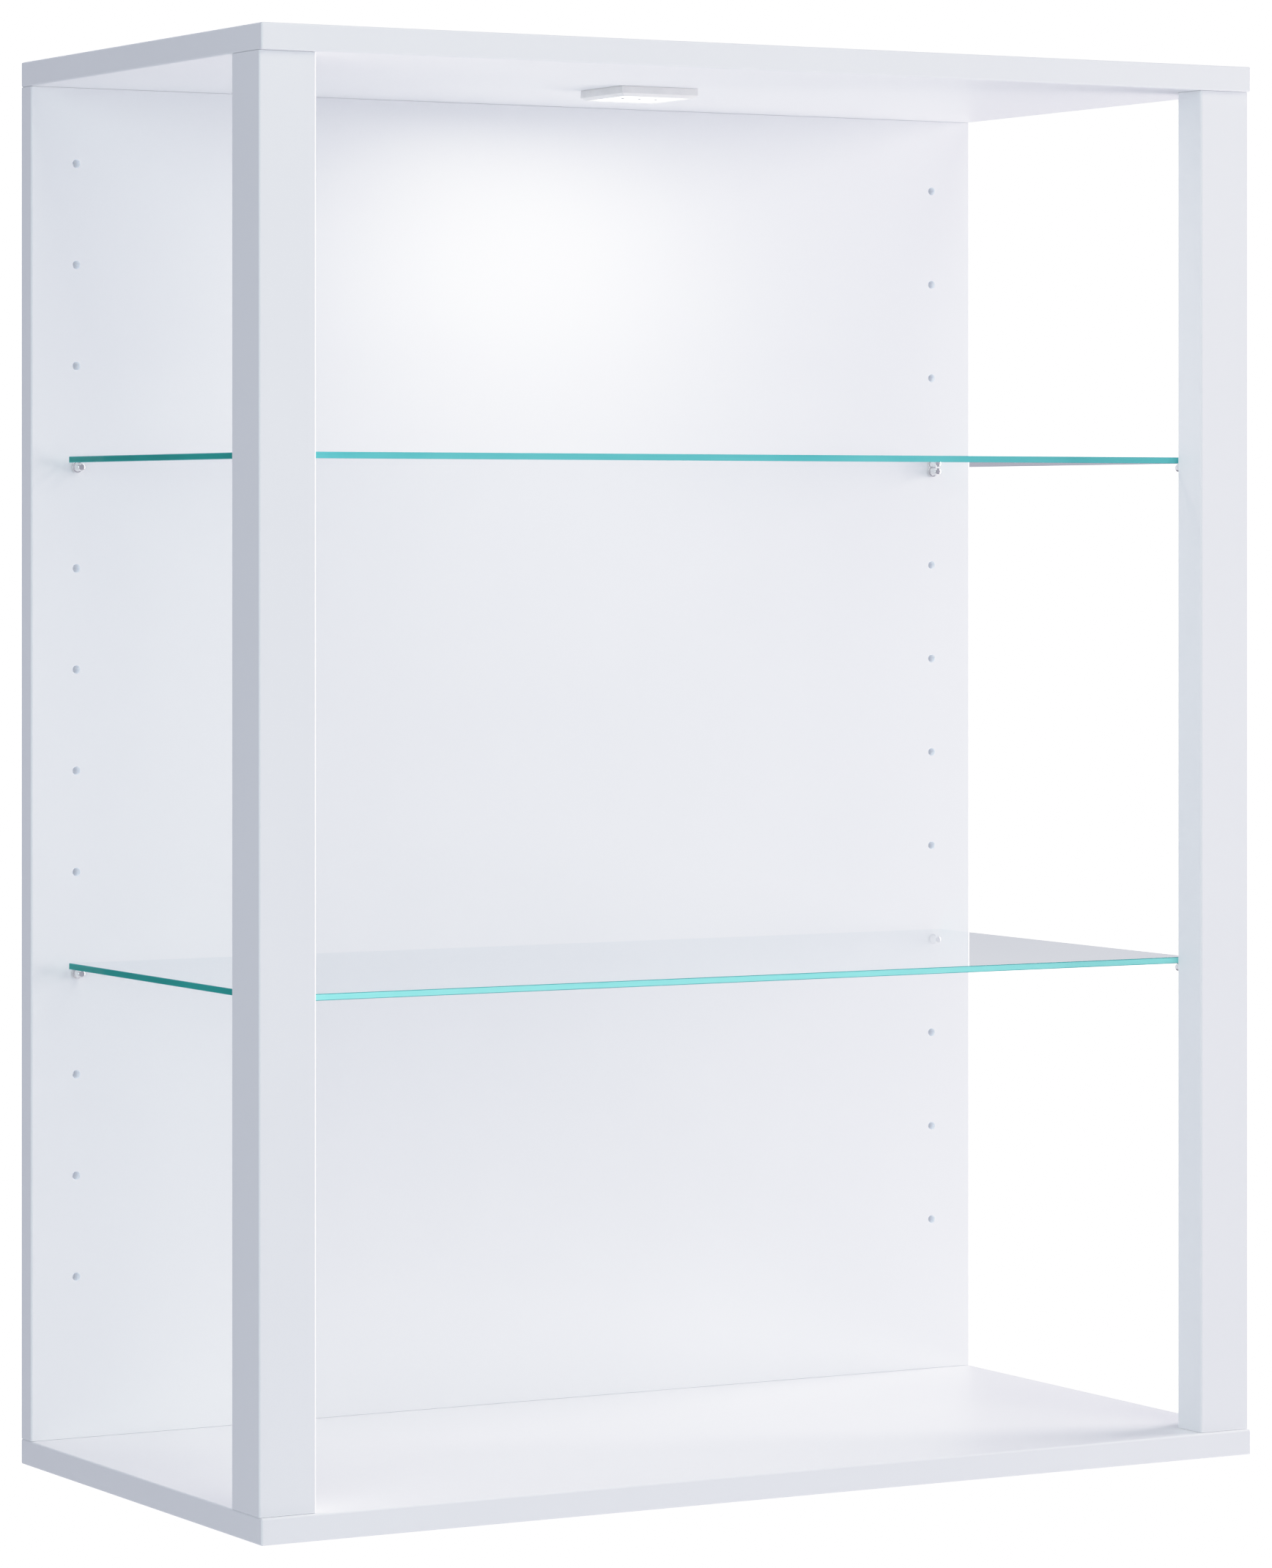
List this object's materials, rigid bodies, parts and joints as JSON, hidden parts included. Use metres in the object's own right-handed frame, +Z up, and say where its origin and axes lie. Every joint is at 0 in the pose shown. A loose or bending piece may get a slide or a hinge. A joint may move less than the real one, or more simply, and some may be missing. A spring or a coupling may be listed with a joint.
{
  "type": "wall mounted showcase",
  "caption": "Open sided wall showcase: white board cabinet with front posts, glass shelves on peg pins and a square light under the top.",
  "frame": {"origin": "middle of the back panel's rear face, where it lies on the wall", "axes": "+Y into the wall, +Z up, +X to the right of a person facing the showcase"},
  "size_m": [0.7, 0.35, 0.8878],
  "materials": {
    "white_laminate": "white melamine laminate on particle board, smooth satin, matching edge strips",
    "shelf_glass": "clear float glass, ground and polished edges with a teal tint",
    "nickel_plate": "nickel-plated steel, bright",
    "zinc_steel": "zinc-plated steel",
    "cast_zinc": "die-cast zinc, dull grey",
    "beech": "plain beech",
    "white_cap": "white moulded plastic",
    "silver_housing": "silver-grey moulded plastic, satin",
    "opal_diffuser": "opal acrylic, lit from behind",
    "circuit_board": "white solder mask",
    "led_phosphor": "yellow phosphor in a white body",
    "grey_rubber": "dark grey moulded rubber"
  },
  "bodies": {
    "cabinet": {"top_panel": "white_laminate", "bottom_panel": "white_laminate", "back_panel": "white_laminate", "left_front_post": "white_laminate", "right_front_post": "white_laminate", "upper_shelf_pin_rear_left": "nickel_plate", "upper_shelf_pin_rear_right": "nickel_plate", "upper_shelf_pin_front_left": "nickel_plate", "upper_shelf_pin_front_right": "nickel_plate", "lower_shelf_pin_rear_left": "nickel_plate", "lower_shelf_pin_rear_right": "nickel_plate", "lower_shelf_pin_front_left": "nickel_plate", "lower_shelf_pin_front_right": "nickel_plate", "cam_lock_top_left": "cast_zinc", "cam_bolt_top_left": "nickel_plate", "back_dowel_top_left": "beech", "post_dowel_top_left": "beech", "post_screw_top_left": "zinc_steel", "screw_cap_top_left": "white_cap", "cam_lock_top_right": "cast_zinc", "cam_bolt_top_right": "nickel_plate", "back_dowel_top_right": "beech", "post_dowel_top_right": "beech", "post_screw_top_right": "zinc_steel", "screw_cap_top_right": "white_cap", "cam_lock_bottom_left": "cast_zinc", "cam_bolt_bottom_left": "nickel_plate", "back_dowel_bottom_left": "beech", "post_dowel_bottom_left": "beech", "post_screw_bottom_left": "zinc_steel", "screw_cap_bottom_left": "white_cap", "cam_lock_bottom_right": "cast_zinc", "cam_bolt_bottom_right": "nickel_plate", "back_dowel_bottom_right": "beech", "post_dowel_bottom_right": "beech", "post_screw_bottom_right": "zinc_steel", "screw_cap_bottom_right": "white_cap", "led_housing": "silver_housing", "led_diffuser": "opal_diffuser", "led_circuit_board": "circuit_board", "led_chip_left": "led_phosphor", "led_chip_centre": "led_phosphor", "led_chip_right": "led_phosphor", "led_screw_left": "zinc_steel", "led_screw_right": "zinc_steel", "cable_grommet": "grey_rubber", "hanger_plate_left": "zinc_steel", "hanger_screw_left_outer": "nickel_plate", "hanger_screw_left_inner": "nickel_plate", "hanger_plate_right": "zinc_steel", "hanger_screw_right_outer": "nickel_plate", "hanger_screw_right_inner": "nickel_plate"},
    "upper_shelf": {"upper_glass_shelf": "shelf_glass"},
    "lower_shelf": {"lower_glass_shelf": "shelf_glass"}
  },
  "joints": [
    {"name": "upper_shelf_lift", "type": "slide", "parent": "cabinet", "child": "upper_shelf", "axis": [0, 0, 1], "range_m": [0, 0.225]},
    {"name": "lower_shelf_lift", "type": "slide", "parent": "cabinet", "child": "lower_shelf", "axis": [0, 0, 1], "range_m": [0, 0.305]}
  ]
}
